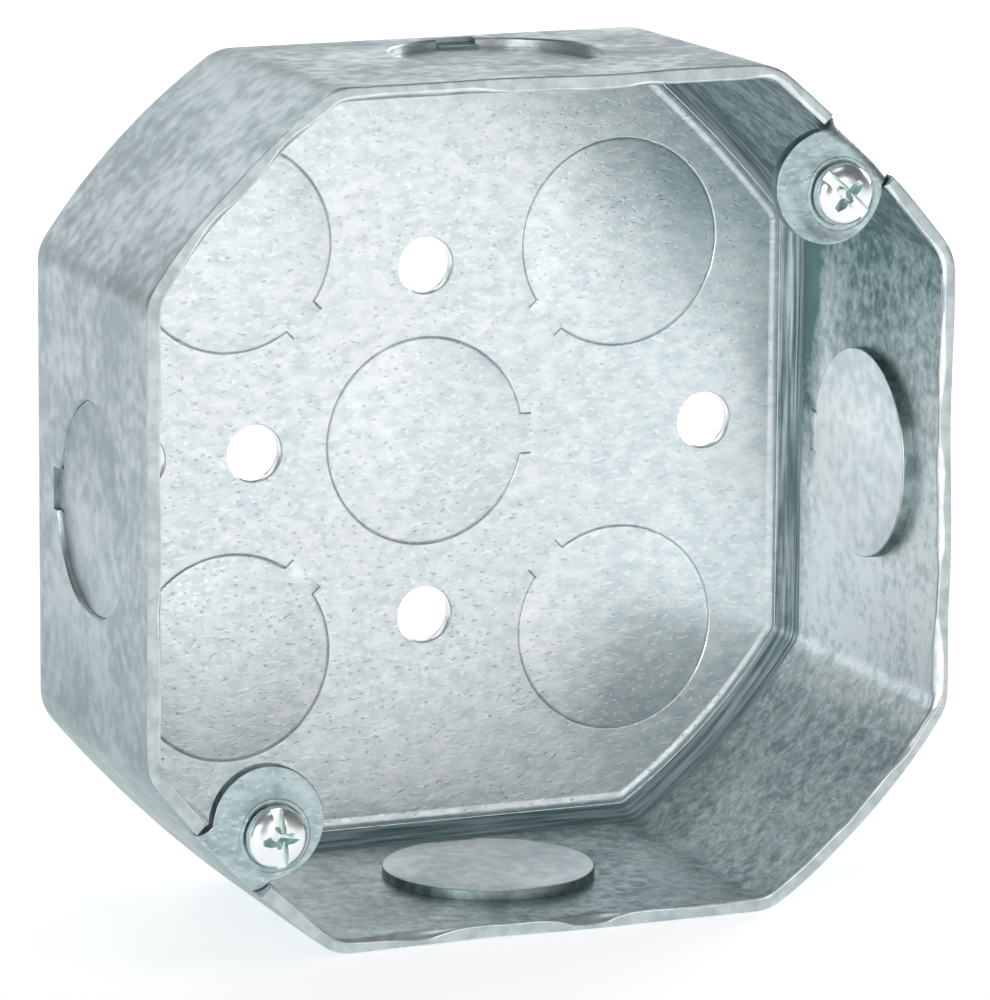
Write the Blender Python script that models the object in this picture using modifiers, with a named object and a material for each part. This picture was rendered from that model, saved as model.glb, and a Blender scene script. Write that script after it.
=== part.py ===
"""Octagonal steel electrical box: a drawn shell with two folded ears, nine knockouts and two cover screws.

The box stands on its lower flat wall. +X is right, +Z is up, +Y points into the box, so the open
side faces -Y and the mounting face is at +Y. The origin is under the middle, at the floor.
"""

from math import atan2, cos, pi, radians, sin, sqrt

import bmesh
import bpy
from mathutils import Matrix, Vector

MM = 0.001

# The drawn shell
FLAT_HALF = 45.1 * MM  # centre to the outside of each of the four walls with a knockout, at the rim
EAR_DIAGONAL = 49.9 * MM  # centre to the middle of the two corner walls that carry the ears
CURVED_DIAGONAL = 50.7 * MM  # centre to the middle of the other two, 101.4 mm apart: the 4-inch size
EAR_WALL_RADIUS = 140 * MM  # plan radius of the nearly flat corner walls
CURVED_WALL_RADIUS = 70 * MM  # plan radius of the bulging corner walls
CORNER_RADIUS = 5 * MM
DEPTH = 38.1 * MM
SHEET = 1.5 * MM
DRAFT = 0.6 * MM  # how much nearer the centre each flat wall is at the back than at the rim
RIM_TRIM = 0.5 * MM  # how far the drawn walls run past the rim before it is cut level
BACK_EDGE_RADIUS = 4.2 * MM

# The folded ears
SCREW_SPACING = 88.9 * MM
EAR_RADIUS = 6.1 * MM
EAR_CENTRE = 44.1 * MM  # box axis to the middle of an ear's round flat
EAR_SHIFT = 1.0 * MM  # both ears sit this far off their diagonal, towards the upper left corner
SCREW_SHIFT = -0.6 * MM  # and both screws this far towards the lower right
EAR_BELOW_RIM = 0.4 * MM
EAR_BEND_WIDTH = 8.9 * MM
EAR_BEND_RADIUS = 2.2 * MM  # outside of the fold
EAR_SLIT = 0.5 * MM
EAR_SLIT_DEPTH = 3.4 * MM  # from the rim
EAR_LEG_DEPTH = 5.2 * MM  # how far the fold's leg overlaps the wall, from the rim
FLUSH = 0.15 * MM  # keeps the leg's faces off the wall's faces
BOSS_RADIUS = 4.8 * MM
BOSS_DEPTH = 3.5 * MM  # rim to the end of the tapped boss
RECESS_RADIUS = 3.8 * MM
RECESS_DEPTH = 1.2 * MM  # rim to the floor that the screw's head rests on

# The cover screws, number 8-32
GAP = 0.3 * MM  # between neighbouring pieces
THREAD_RADIUS = 2.05 * MM
THREAD_LENGTH = 9.5 * MM
HEAD_RADIUS = 3.25 * MM
HEAD_HEIGHT = 2.1 * MM
HEAD_CROWN_RADIUS = 1.9 * MM  # flat middle of the crown
SLOT_WIDTH = 1.2 * MM
SLOT_DEPTH = 1.1 * MM
SCREW_TURN = {"cover_screw_upper": 52, "cover_screw_lower": 97}  # degrees of each slot from +X

# The knockouts, half-inch trade size
KNOCKOUT_RADIUS = 11.3 * MM  # the shear line
TIE_REACH = 12.3 * MM  # knockout centre to the bending line of its tie
TIE_WIDTH = 4.4 * MM
SIDE_INSET = 1.3 * MM  # how far a side slug already stands in from the wall's inner face
BACK_INSET = 0.35 * MM
# The side knockouts: from the middle of the wall towards +X or +Z, and from the rim
SIDE_KNOCKOUTS = {
    "top": (1.2 * MM, 20.4 * MM),
    "right": (-0.2 * MM, 17.3 * MM),
    "bottom": (0.3 * MM, 19.1 * MM),
    "left": (0, 17.3 * MM),
}
# The back's corner knockouts, from the middle of the back's own pattern
BACK_KNOCKOUTS = {
    "upper_right": (22.6 * MM, 20.3 * MM),
    "lower_right": (22.4 * MM, -22.3 * MM),
    "lower_left": (-22.4 * MM, -22.1 * MM),
    "upper_left": (-22.2 * MM, 22.3 * MM),
}

# The mounting holes in the back, from the middle of the back's own pattern
BACK_RISE = 0.5 * MM  # how far that pattern sits above the rim's middle
HOLE_RADIUS = 3.03 * MM
HOLES = [(0, 19.1 * MM), (0, -19.1 * MM), (-19.6 * MM, 0), (32.8 * MM, 0), (-32.8 * MM, 0)]

# The frame
HEAD_TOP = GAP + HEAD_HEIGHT - RECESS_DEPTH  # how far a screw's head stands past the rim
RIM_Y = HEAD_TOP - (DEPTH + HEAD_TOP) / 2
BACK_Y = RIM_Y + DEPTH
CENTRE_Z = FLAT_HALF

CORNER_STEPS = 4
WALL_STEPS = 6
EDGE_STEPS = 4
ROUND_STEPS = 40
SMALL_ROUND_STEPS = 24
THROUGH = 6 * MM  # how far a cutter runs past the sheet it cuts

UP = Vector((0, 0, 1))
RIGHT = Vector((1, 0, 0))
INWARD = Vector((0, 1, 0))


def clear_scene():
    for obj in list(bpy.data.objects):
        bpy.data.objects.remove(obj)


def new_collection(name):
    collection = bpy.data.collections.new(name)
    bpy.context.scene.collection.children.link(collection)
    return collection


def steel(name, colour, roughness):
    material = bpy.data.materials.new(name)
    material.use_nodes = True
    shader = material.node_tree.nodes["Principled BSDF"]
    shader.inputs["Base Color"].default_value = (*colour, 1)
    shader.inputs["Metallic"].default_value = 1
    shader.inputs["Roughness"].default_value = roughness
    return material


def add_object(name, mesh, matrix, collection, material=None):
    obj = bpy.data.objects.new(name, mesh)
    obj.matrix_world = matrix
    if material:
        mesh.materials.append(material)
    collection.objects.link(obj)
    return obj


def add_cutter(name, mesh, matrix):
    """A helper solid: it cuts or joins another object and isn't part of the model itself."""
    obj = add_object(name, mesh, matrix, cutters)
    obj.hide_render = True
    obj.display_type = "WIRE"
    return obj


def boolean(obj, other, operation):
    modifier = obj.modifiers.new(other.name, "BOOLEAN")
    modifier.operation = operation
    modifier.solver = "EXACT"
    modifier.object = other


def frame(origin, along_x, along_z):
    """A matrix at origin whose local X and Z axes lie along two perpendicular directions."""
    along_y = along_z.cross(along_x)
    axes = Matrix((along_x.normalized(), along_y.normalized(), along_z.normalized())).transposed()
    return Matrix.Translation(origin) @ axes.to_4x4()


def on_plane(x, y, z):
    """A point given from the box's axis: x right, y from the rim into the box, z up."""
    return Vector((x, RIM_Y + y, CENTRE_Z + z))


def cylinder(radius, low, high, steps, foot_radius=None):
    """A cylinder or cone along Z from low to high, as a mesh."""
    mesh = bpy.data.meshes.new("round")
    bm = bmesh.new()
    bmesh.ops.create_cone(
        bm, cap_ends=True, segments=steps, depth=high - low,
        radius1=foot_radius or radius, radius2=radius,
        matrix=Matrix.Translation((0, 0, (low + high) / 2)),
    )
    bm.to_mesh(mesh)
    bm.free()
    return mesh


def block(low, high):
    """A box between two corners, as a mesh."""
    mesh = bpy.data.meshes.new("block")
    bm = bmesh.new()
    size = [b - a for a, b in zip(low, high)]
    middle = [(a + b) / 2 for a, b in zip(low, high)]
    matrix = Matrix.Translation(middle) @ Matrix.Diagonal((*size, 1))
    bmesh.ops.create_cube(bm, size=1, matrix=matrix)
    bm.to_mesh(mesh)
    bm.free()
    return mesh


def filled_outline(points, half_thickness):
    """A flat closed outline in XY, filled and made thick along Z, as a mesh."""
    curve = bpy.data.curves.new("outline", "CURVE")
    curve.dimensions = "2D"
    curve.fill_mode = "BOTH"
    curve.extrude = half_thickness
    spline = curve.splines.new("POLY")
    spline.points.add(len(points) - 1)
    for point, (x, y) in zip(spline.points, points):
        point.co = (x, y, 0, 1)
    spline.use_cyclic_u = True
    guide = bpy.data.objects.new("outline", curve)
    bpy.context.scene.collection.objects.link(guide)
    graph = bpy.context.evaluated_depsgraph_get()
    mesh = bpy.data.meshes.new_from_object(guide.evaluated_get(graph))
    bpy.data.objects.remove(guide)
    bm = bmesh.new()
    bm.from_mesh(mesh)
    bmesh.ops.remove_doubles(bm, verts=bm.verts, dist=1e-6)
    bmesh.ops.dissolve_limit(bm, angle_limit=radians(0.5), verts=bm.verts, edges=bm.edges)
    bmesh.ops.recalc_face_normals(bm, faces=bm.faces)
    bm.to_mesh(mesh)
    bm.free()
    return mesh


def arc(centre, radius, start, end, steps):
    return [
        (centre[0] + radius * cos(angle), centre[1] + radius * sin(angle))
        for angle in (start + (end - start) * i / steps for i in range(steps + 1))
    ]


def corner_outline(diagonal, wall_radius):
    """A quarter of the plan: round corner, arched corner wall, round corner, from +X round to +Y."""
    arch = (diagonal - wall_radius) / sqrt(2)
    across = FLAT_HALF - CORNER_RADIUS
    reach = wall_radius - CORNER_RADIUS
    along = arch + sqrt(reach**2 - (across - arch) ** 2)
    turn = atan2(along - arch, across - arch)
    first = arc((across, along), CORNER_RADIUS, 0, turn, CORNER_STEPS)
    middle = arc((arch, arch), wall_radius, turn, pi / 2 - turn, WALL_STEPS)
    last = arc((along, across), CORNER_RADIUS, pi / 2 - turn, pi / 2, CORNER_STEPS)
    return first + middle[1:-1] + last


def shell_outline():
    """The whole plan of the rim, anticlockwise from the right-hand wall."""
    ear = corner_outline(EAR_DIAGONAL, EAR_WALL_RADIUS)
    curved = corner_outline(CURVED_DIAGONAL, CURVED_WALL_RADIUS)
    points = []
    for quarter, corner in enumerate((ear, curved, ear, curved)):
        turn = Matrix.Rotation(quarter * pi / 2, 2)
        points += [tuple(turn @ Vector(point)) for point in corner]
    return points


def drawn_shell():
    """The outer skin: open at the rim, drawn in a little towards the back, round at the back edge."""
    mesh = filled_outline(shell_outline(), DEPTH / 2)
    bm = bmesh.new()
    bm.from_mesh(mesh)
    front = [face for face in bm.faces if face.calc_center_median().z > DEPTH * 0.49]
    bmesh.ops.delete(bm, geom=front, context="FACES")
    at_back = [vert for vert in bm.verts if vert.co.z < 0]
    shrink = (FLAT_HALF - DRAFT) / FLAT_HALF
    bmesh.ops.scale(bm, vec=(shrink, shrink, 1), verts=at_back)
    at_front = [vert for vert in bm.verts if vert.co.z > 0]
    grow = 1 + DRAFT / FLAT_HALF * RIM_TRIM / DEPTH
    bmesh.ops.scale(bm, vec=(grow, grow, 1), verts=at_front)
    bmesh.ops.translate(bm, vec=(0, 0, RIM_TRIM), verts=at_front)
    rear = [face for face in bm.faces if face.normal.z < -0.9]
    edges = [edge for edge in bm.edges if sum(face in rear for face in edge.link_faces) == 1]
    bmesh.ops.bevel(
        bm, geom=edges, offset=BACK_EDGE_RADIUS, offset_type="OFFSET",
        segments=EDGE_STEPS, profile=0.5, affect="EDGES", clamp_overlap=False,
    )
    bm.to_mesh(mesh)
    bm.free()
    return mesh


def ear_frame(angle):
    """Local X runs out from the box's axis through the screw, local Z out of the open side."""
    out = Vector((cos(angle), 0, sin(angle)))
    return frame(on_plane(0, 0, 0), out, -INWARD)


def fold_profile():
    """The fold's cross-section: from the ear's flat, round the bend and down inside the wall."""
    outside = EAR_DIAGONAL - FLUSH
    centre = (outside - EAR_BEND_RADIUS, -EAR_BELOW_RIM - EAR_BEND_RADIUS)
    outer = arc(centre, EAR_BEND_RADIUS, pi / 2, 0, EDGE_STEPS)
    inner = arc(centre, EAR_BEND_RADIUS - SHEET + 2 * FLUSH, 0, pi / 2, EDGE_STEPS)
    under = -EAR_BELOW_RIM - SHEET + 2 * FLUSH
    leg = [(outside, -EAR_LEG_DEPTH), (outside - SHEET + 2 * FLUSH, -EAR_LEG_DEPTH)]
    return [(EAR_CENTRE, -EAR_BELOW_RIM)] + outer + leg + inner + [(EAR_CENTRE, under)]


def screw_frame(angle, side):
    """On a cover screw's axis, level with the rim."""
    return ear_frame(angle) @ Matrix.Translation((SCREW_SPACING / 2, side * SCREW_SHIFT, 0))


def add_ear(body, name, angle, side):
    """Cuts the rim beside an ear, then joins the fold, the round flat and the tapped boss."""
    place = ear_frame(angle) @ Matrix.Translation((0, side * EAR_SHIFT, 0))
    half = EAR_BEND_WIDTH / 2 + EAR_SLIT
    low = (EAR_CENTRE, -half, -EAR_SLIT_DEPTH)
    high = (EAR_CENTRE + THROUGH * 2, half, THROUGH)
    boolean(body, add_cutter(name + "_slit", block(low, high), place), "DIFFERENCE")

    fold = filled_outline(fold_profile(), EAR_BEND_WIDTH / 2)
    upright = place @ Matrix.Rotation(pi / 2, 4, "X")
    boolean(body, add_cutter(name + "_fold", fold, upright), "UNION")

    flat = cylinder(EAR_RADIUS, -EAR_BELOW_RIM - SHEET, -EAR_BELOW_RIM, ROUND_STEPS)
    middle = place @ Matrix.Translation((EAR_CENTRE, 0, 0))
    flat_piece = add_cutter(name + "_flat", flat, middle)
    past_fold = EAR_DIAGONAL - FLUSH - EAR_BEND_RADIUS
    low = (past_fold, -EAR_RADIUS * 2, -THROUGH)
    high = (past_fold + THROUGH * 2, EAR_RADIUS * 2, THROUGH)
    boolean(flat_piece, add_cutter(name + "_trim", block(low, high), place), "DIFFERENCE")
    boolean(body, flat_piece, "UNION")

    at_screw = screw_frame(angle, side)
    boss = cylinder(BOSS_RADIUS, -BOSS_DEPTH, -EAR_BELOW_RIM - SHEET / 2, ROUND_STEPS)
    boss_piece = add_cutter(name + "_boss", boss, at_screw)
    boolean(boss_piece, add_cutter(name + "_boss_trim", block(low, high), place), "DIFFERENCE")
    boolean(body, boss_piece, "UNION")
    recess = cylinder(RECESS_RADIUS, -RECESS_DEPTH, THROUGH, SMALL_ROUND_STEPS)
    boolean(body, add_cutter(name + "_recess", recess, at_screw), "DIFFERENCE")
    bore = cylinder(THREAD_RADIUS + GAP, -THROUGH, THROUGH, SMALL_ROUND_STEPS)
    boolean(body, add_cutter(name + "_bore", bore, at_screw), "DIFFERENCE")


def knockout_frame(centre, toward_tie, normal, inset):
    """Origin on the tie's bending line, local X from the slug to its tie, local Z into the box."""
    return frame(centre + toward_tie * TIE_REACH + normal * inset, toward_tie, normal)


def side_frame(out, along, depth):
    """The knockout in the flat wall that faces along out."""
    slope = (INWARD * DEPTH - out * DRAFT).normalized()
    normal = (-out * DEPTH - INWARD * DRAFT).normalized()
    sideways = UP if out.x else RIGHT
    lean = DRAFT * depth / DEPTH
    centre = on_plane(0, depth, 0) + sideways * along + out * (FLAT_HALF - lean - SHEET)
    return knockout_frame(centre, slope, normal, SIDE_INSET)


def back_frame(x, z, toward_tie):
    centre = on_plane(x, DEPTH - SHEET, z + BACK_RISE)
    return knockout_frame(centre, toward_tie.normalized(), -INWARD, BACK_INSET)


def slug_outline(radius, half_tie, end):
    """A disc with a tie: the bending line is local X = 0 and the disc's centre X = -TIE_REACH."""
    turn = atan2(half_tie, sqrt(radius**2 - half_tie**2))
    disc = arc((-TIE_REACH, 0), radius, turn, 2 * pi - turn, ROUND_STEPS)
    return disc + [(end, -half_tie), (end, half_tie)]


def add_knockout(body, name, place, inset):
    """The slug, hinged on its tie, and the hole that it leaves."""
    outline = slug_outline(KNOCKOUT_RADIUS - GAP / 2, TIE_WIDTH / 2, 0)
    mesh = filled_outline(outline, SHEET / 2)
    mesh.transform(Matrix.Translation((0, 0, -SHEET / 2)))
    add_object(name, mesh, place, parts, slug_steel)
    hole = slug_outline(KNOCKOUT_RADIUS + GAP / 2, TIE_WIDTH / 2 + GAP, GAP)
    middle = place @ Matrix.Translation((0, 0, -inset - SHEET / 2))
    boolean(body, add_cutter(name + "_hole", filled_outline(hole, THROUGH / 2), middle), "DIFFERENCE")


def screw_profile():
    """Half the screw's section, down its outer side from the crown to the tip."""
    side = HEAD_HEIGHT * 0.45
    rounding = [
        (
            HEAD_CROWN_RADIUS + (HEAD_RADIUS - HEAD_CROWN_RADIUS) * sin(angle),
            side + (HEAD_HEIGHT - side) * cos(angle),
        )
        for angle in (i * pi / 2 / EDGE_STEPS for i in range(EDGE_STEPS + 1))
    ]
    tip = -THREAD_LENGTH
    chamfer = 0.7 * MM
    return [(0, HEAD_HEIGHT)] + rounding + [
        (HEAD_RADIUS, 0), (THREAD_RADIUS, 0), (THREAD_RADIUS, tip + chamfer),
        (THREAD_RADIUS - chamfer, tip), (0, tip),
    ]


def add_screw(name, angle, side):
    """A pan-head screw whose origin is the middle of its head's underside."""
    mesh = bpy.data.meshes.new(name)
    profile = screw_profile()
    verts = [(x, 0, z) for x, z in profile]
    mesh.from_pydata(verts, [(i, i + 1) for i in range(len(verts) - 1)], [])
    place = screw_frame(angle, side) @ Matrix.Translation((0, 0, GAP - RECESS_DEPTH))
    screw = add_object(name, mesh, place, parts, screw_zinc)
    turned = screw.modifiers.new("turned", "SCREW")
    turned.steps = turned.render_steps = SMALL_ROUND_STEPS
    turned.use_merge_vertices = True
    turned.merge_threshold = 1e-5
    slot = block(
        (-2 * HEAD_RADIUS, -SLOT_WIDTH / 2, HEAD_HEIGHT - SLOT_DEPTH),
        (2 * HEAD_RADIUS, SLOT_WIDTH / 2, HEAD_HEIGHT + SLOT_DEPTH),
    )
    facing = Matrix.Rotation(radians(SCREW_TURN[name]) - angle, 4, "Z")
    boolean(screw, add_cutter(name + "_slot", slot, place @ facing), "DIFFERENCE")


clear_scene()
parts = new_collection("electrical_box")
cutters = new_collection("cutters")
shell_steel = steel("galvanised_sheet", (0.66, 0.70, 0.71), 0.42)
slug_steel = steel("galvanised_slug", (0.60, 0.65, 0.66), 0.45)
screw_zinc = steel("bright_zinc", (0.80, 0.82, 0.83), 0.22)

upright_shell = frame(on_plane(0, DEPTH / 2, 0), RIGHT, -INWARD)
box_body = add_object("box_body", drawn_shell(), upright_shell, parts, shell_steel)
thickness = box_body.modifiers.new("sheet", "SOLIDIFY")
thickness.thickness = SHEET
thickness.offset = -1
thickness.use_even_offset = True
past_rim = block((-2 * FLAT_HALF, -2 * FLAT_HALF, DEPTH / 2), (2 * FLAT_HALF, 2 * FLAT_HALF, DEPTH))
boolean(box_body, add_cutter("past_rim", past_rim, upright_shell), "DIFFERENCE")

for wall, out in (("top", UP), ("right", RIGHT), ("bottom", -UP), ("left", -RIGHT)):
    place = side_frame(out, *SIDE_KNOCKOUTS[wall])
    add_knockout(box_body, "knockout_" + wall, place, SIDE_INSET)

add_knockout(box_body, "knockout_back_centre", back_frame(0, 0, RIGHT), BACK_INSET)
for corner, (x, z) in BACK_KNOCKOUTS.items():
    place = back_frame(x, z, Vector((-x, 0, -z)))
    add_knockout(box_body, "knockout_back_" + corner, place, BACK_INSET)

for number, (x, z) in enumerate(HOLES, 1):
    drill = cylinder(HOLE_RADIUS, -THROUGH, THROUGH, SMALL_ROUND_STEPS)
    place = frame(on_plane(x, DEPTH, z + BACK_RISE), RIGHT, -INWARD)
    boolean(box_body, add_cutter(f"mounting_hole_{number}", drill, place), "DIFFERENCE")

for name, angle, side in (("upper", pi / 4, 1), ("lower", pi * 5 / 4, -1)):
    add_ear(box_body, "ear_" + name, angle, side)
    add_screw("cover_screw_" + name, angle, side)

for obj in parts.objects:
    obj.data.shade_smooth()
    obj.data.set_sharp_from_angle(angle=radians(30))
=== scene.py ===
"""The looks of the octagonal electrical box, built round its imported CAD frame.

Shapes are worked out in millimetres from the middle of the open rim: x right, depth into the box,
z up. place() moves such a point to the frame's origin, and add_object() turns a mesh into metres.
"""

import random
from math import atan2, cos, exp, hypot, pi, radians, sin, sqrt

import bmesh
import bpy
from mathutils import Matrix, Vector
from mathutils.geometry import delaunay_2d_cdt


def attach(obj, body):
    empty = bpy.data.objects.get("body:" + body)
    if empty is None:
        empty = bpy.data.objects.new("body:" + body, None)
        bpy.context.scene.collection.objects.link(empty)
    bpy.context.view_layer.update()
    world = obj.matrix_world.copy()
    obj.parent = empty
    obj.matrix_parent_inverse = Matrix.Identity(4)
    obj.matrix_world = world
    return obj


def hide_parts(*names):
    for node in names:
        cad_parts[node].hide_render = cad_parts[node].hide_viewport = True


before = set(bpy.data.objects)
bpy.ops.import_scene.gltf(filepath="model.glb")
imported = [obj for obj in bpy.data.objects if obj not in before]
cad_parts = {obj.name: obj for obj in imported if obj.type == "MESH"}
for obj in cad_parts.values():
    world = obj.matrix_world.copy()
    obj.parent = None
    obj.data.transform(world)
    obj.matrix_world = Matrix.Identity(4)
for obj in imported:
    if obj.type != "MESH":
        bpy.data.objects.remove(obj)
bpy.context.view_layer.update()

MM = 0.001
FLAT_HALF = 45.1  # half the width over two opposite flat walls, outside
DEPTH = 38.1
SHEET = 1.5
DRAFT = 0.6  # how far the walls come in from rim to back
HEAD_TOP = 1.2  # how far the screw heads stand out of the open side
RIM_Y = HEAD_TOP - (DEPTH + HEAD_TOP) / 2
PLATE_DEPTH = DEPTH - SHEET
BACK_EDGE_RADIUS = 4.2
DIE_OFFSET = 3.45  # the plate's coined edge, measured in from the walls' outside
DIE_RISE = 1.45  # how far the coined bevel climbs the wall

# The ears are named by side: 1 is the one at the upper right, -1 the one at the lower left.
# An ear's diagonal is the distance from the middle to its wall, and it and its screw are shifted
# sideways along that wall.
EAR_DIAGONALS = {1: 49.75, -1: 50.1}
EAR_WALL_RADIUS = 140
EAR_RADIUS = 6.1
EAR_CENTRE = 44.1
EAR_SHIFT = 1.0
SCREW_SHIFT = -0.6
SCREW_RADIAL = 44.45
EAR_BELOW_RIM = 0.4
EAR_HALF_WIDTH = 4.45
EAR_DIP = 0.42  # how far the flat is drawn down round the screw's recess
DIP_WIDTH = 1.15
BEND_RADIUS = 2.2
BEND_LENGTH = BEND_RADIUS * pi / 2
SLIT_WIDE = 0.75
SLIT_THIN = 0.12
SLIT_DEPTH = 2.75
RECESS_RADIUS = 3.8
RECESS_DEPTH = 1.2

# Corner walls, anticlockwise from the upper right: centre distance, plan radius, corner radius
CORNERS = [
    (EAR_DIAGONALS[1], EAR_WALL_RADIUS, 6.2),
    (50.8, 70, 5.2),
    (EAR_DIAGONALS[-1], EAR_WALL_RADIUS, 5.3),
    (50.8, 70, 5.2),
]
# Steps along the plan: the longest on a flat wall, and how many in a corner's turn and in its arch
STATION_STEP = 1.3
TURN_STEPS = 7
ARCH_STEPS = 26
SAME_POINT = 1e-6

# Heights on the screw count from under its head, which is at HEAD_SEAT from the rim's plane
HEAD_SEAT = 0.3 - RECESS_DEPTH
HEAD_HEIGHT = 2.1
HEAD_RADIUS = 3.25
SHANK_RADIUS = 1.75
SCREW_LENGTH = 9.5
THREAD_RADIUS = 2.05
THREAD_PITCH = 0.79
THREAD_LENGTH = 8.6
THREAD_DEPTH = 0.36
THREAD_START = -0.25

KNOCKOUT_RADIUS = 11.3
SHEAR_GAP = 0.012
TIE_REACH = 12.3  # knockout's centre to the line its tie bends on
TIE_HALF = 2.2
STRIP_EDGE = 0.12
SIDE_INSET = 1.3  # how far the side slugs are already pushed in
SIDE_TILT = radians(1.1)
SLUG_SHIFT = {"top": -0.15, "right": -0.15, "bottom": -0.15, "left": -0.55}
BACK_INSET = 0.03
BACK_TILTS = {  # degrees
    "back_centre": 0.13,
    "back_upper_right": 0.14,
    "back_lower_right": -0.12,
    "back_lower_left": -0.10,
    "back_upper_left": 0.12,
}
# Side knockouts: outward direction, centre along +X or +Z from the wall's middle, depth
SIDE_KNOCKOUTS = {
    "top": (Vector((0, 0, 1)), 1.2, 20.4),
    "right": (Vector((1, 0, 0)), -0.2, 17.3),
    "bottom": (Vector((0, 0, -1)), 0.3, 19.1),
    "left": (Vector((-1, 0, 0)), 0, 17.3),
}
BACK_RISE = 0.5
BACK_KNOCKOUTS = {
    "upper_right": (22.6, 20.3),
    "lower_right": (22.4, -22.3),
    "lower_left": (-22.4, -22.1),
    "upper_left": (-22.2, 22.3),
}
HOLE_RADIUS = 3.03
HOLES = [(0, 19.1), (0, -19.1), (-19.6, 0), (32.8, 0), (-32.8, 0)]

UP = Vector((0, 0, 1))
RIGHT = Vector((1, 0, 0))
INWARD = Vector((0, 1, 0))


# ---------------------------------------------------------------- helpers

def place(x, depth, z):
    """A point measured from the frame's origin, still in millimetres."""
    return Vector((x, RIM_Y + depth, FLAT_HALF + z))


def axes(origin, along_x, along_z):
    """A matrix at origin, in millimetres, whose local X and Z lie along two directions."""
    along_y = along_z.cross(along_x)
    turn = Matrix((along_x.normalized(), along_y.normalized(), along_z.normalized()))
    return Matrix.Translation(origin) @ turn.transposed().to_4x4()


def shade(mesh, sharp):
    """Smooth shading, apart from edges sharper than an angle in degrees."""
    mesh.shade_smooth()
    mesh.set_sharp_from_angle(angle=radians(sharp))


def add_object(bm, name):
    """Makes an object in the frame's metres from a bmesh in millimetres."""
    mesh = bpy.data.meshes.new(name)
    bm.to_mesh(mesh)
    bm.free()
    mesh.transform(Matrix.Scale(MM, 4))
    obj = bpy.data.objects.new(name, mesh)
    bpy.context.scene.collection.objects.link(obj)
    return obj


def finish_mesh(bm, name, sharp=35):
    """Makes a smooth-shaded object of a closed bmesh, and turns its faces outward."""
    bmesh.ops.recalc_face_normals(bm, faces=bm.faces)
    obj = add_object(bm, name)
    shade(obj.data, sharp)
    return obj


def bridge(bm, a, b):
    """Joins two rings of the same count with quads."""
    for i in range(len(a)):
        j = (i + 1) % len(a)
        bm.faces.new((a[i], a[j], b[j], b[i]))


def loft(bm, rings, matrix=None):
    """Closed rings of points with the same count, joined in order and capped."""
    made = []
    for ring in rings:
        points = [Vector(p) for p in ring]
        made.append([bm.verts.new(matrix @ p if matrix else p) for p in points])
    for a, b in zip(made, made[1:]):
        bridge(bm, a, b)
    bm.faces.new(list(reversed(made[0])))
    bm.faces.new(made[-1])


def arc(cx, cy, radius, start, end, steps):
    return [
        (cx + radius * cos(start + (end - start) * i / steps),
         cy + radius * sin(start + (end - start) * i / steps))
        for i in range(steps + 1)
    ]


def circle(radius, height, steps=64):
    return [
        (radius * cos(2 * pi * i / steps), radius * sin(2 * pi * i / steps), height)
        for i in range(steps)
    ]


def lathe(name, profile, matrix):
    """Turns a closed half-section of (radius, height) round local Z."""
    bm = bmesh.new()
    rings = [[bm.verts.new(matrix @ Vector(p)) for p in circle(r, h)] for r, h in profile]
    for a, b in zip(rings, rings[1:] + rings[:1]):
        bridge(bm, a, b)
    return finish_mesh(bm, name)


def apply_modifiers(obj):
    graph = bpy.context.evaluated_depsgraph_get()
    mesh = bpy.data.meshes.new_from_object(obj.evaluated_get(graph))
    obj.modifiers.clear()
    old = obj.data
    obj.data = mesh
    bpy.data.meshes.remove(old)


def round_edges(obj, width, sharp, clamp):
    """Bevels the edges sharper than an angle in degrees, by a width in millimetres."""
    bevel = obj.modifiers.new("edge", "BEVEL")
    bevel.width = width * MM
    bevel.segments = 2
    bevel.limit_method = "ANGLE"
    bevel.angle_limit = radians(sharp)
    bevel.use_clamp_overlap = clamp
    apply_modifiers(obj)


def cut(obj, cutter):
    """Takes the cutter's shape out of an object, and removes the cutter."""
    modifier = obj.modifiers.new("cut", "BOOLEAN")
    modifier.operation = "DIFFERENCE"
    modifier.solver = "EXACT"
    modifier.object = cutter
    apply_modifiers(obj)
    bpy.data.objects.remove(cutter)


class Wave:
    """A smooth closed wave round the rim: sines of the given counts per turn, from a fixed seed."""

    def __init__(self, seed, counts):
        source = random.Random(seed)
        self.terms = [(n, source.uniform(0, 2 * pi), source.uniform(0.5, 1)) for n in counts]
        self.total = sqrt(sum(size * size for _, _, size in self.terms) / 2)

    def __call__(self, share):
        value = sum(size * sin(2 * pi * n * share + turn) for n, turn, size in self.terms)
        return value / self.total


# ---------------------------------------------------------------- the drawn shell

def corner_line(diagonal, wall_radius, corner_radius):
    """Points and outward normals of one corner of the plan, from +X round to +Z."""
    arch = (diagonal - wall_radius) / sqrt(2)
    across = FLAT_HALF - corner_radius
    reach = wall_radius - corner_radius
    along = arch + sqrt(reach**2 - (across - arch) ** 2)
    turn = atan2(along - arch, across - arch)
    spans = [
        (across, along, corner_radius, 0, turn, TURN_STEPS),
        (arch, arch, wall_radius, turn, pi / 2 - turn, ARCH_STEPS),
        (along, across, corner_radius, pi / 2 - turn, pi / 2, TURN_STEPS),
    ]
    line = []
    for cx, cy, radius, start, end, steps in spans:
        for i in range(steps + 1):
            angle = start + (end - start) * i / steps
            point = (cx + radius * cos(angle), cy + radius * sin(angle), cos(angle), sin(angle))
            if not line or hypot(point[0] - line[-1][0], point[1] - line[-1][1]) > SAME_POINT:
                line.append(point)
    return line


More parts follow.
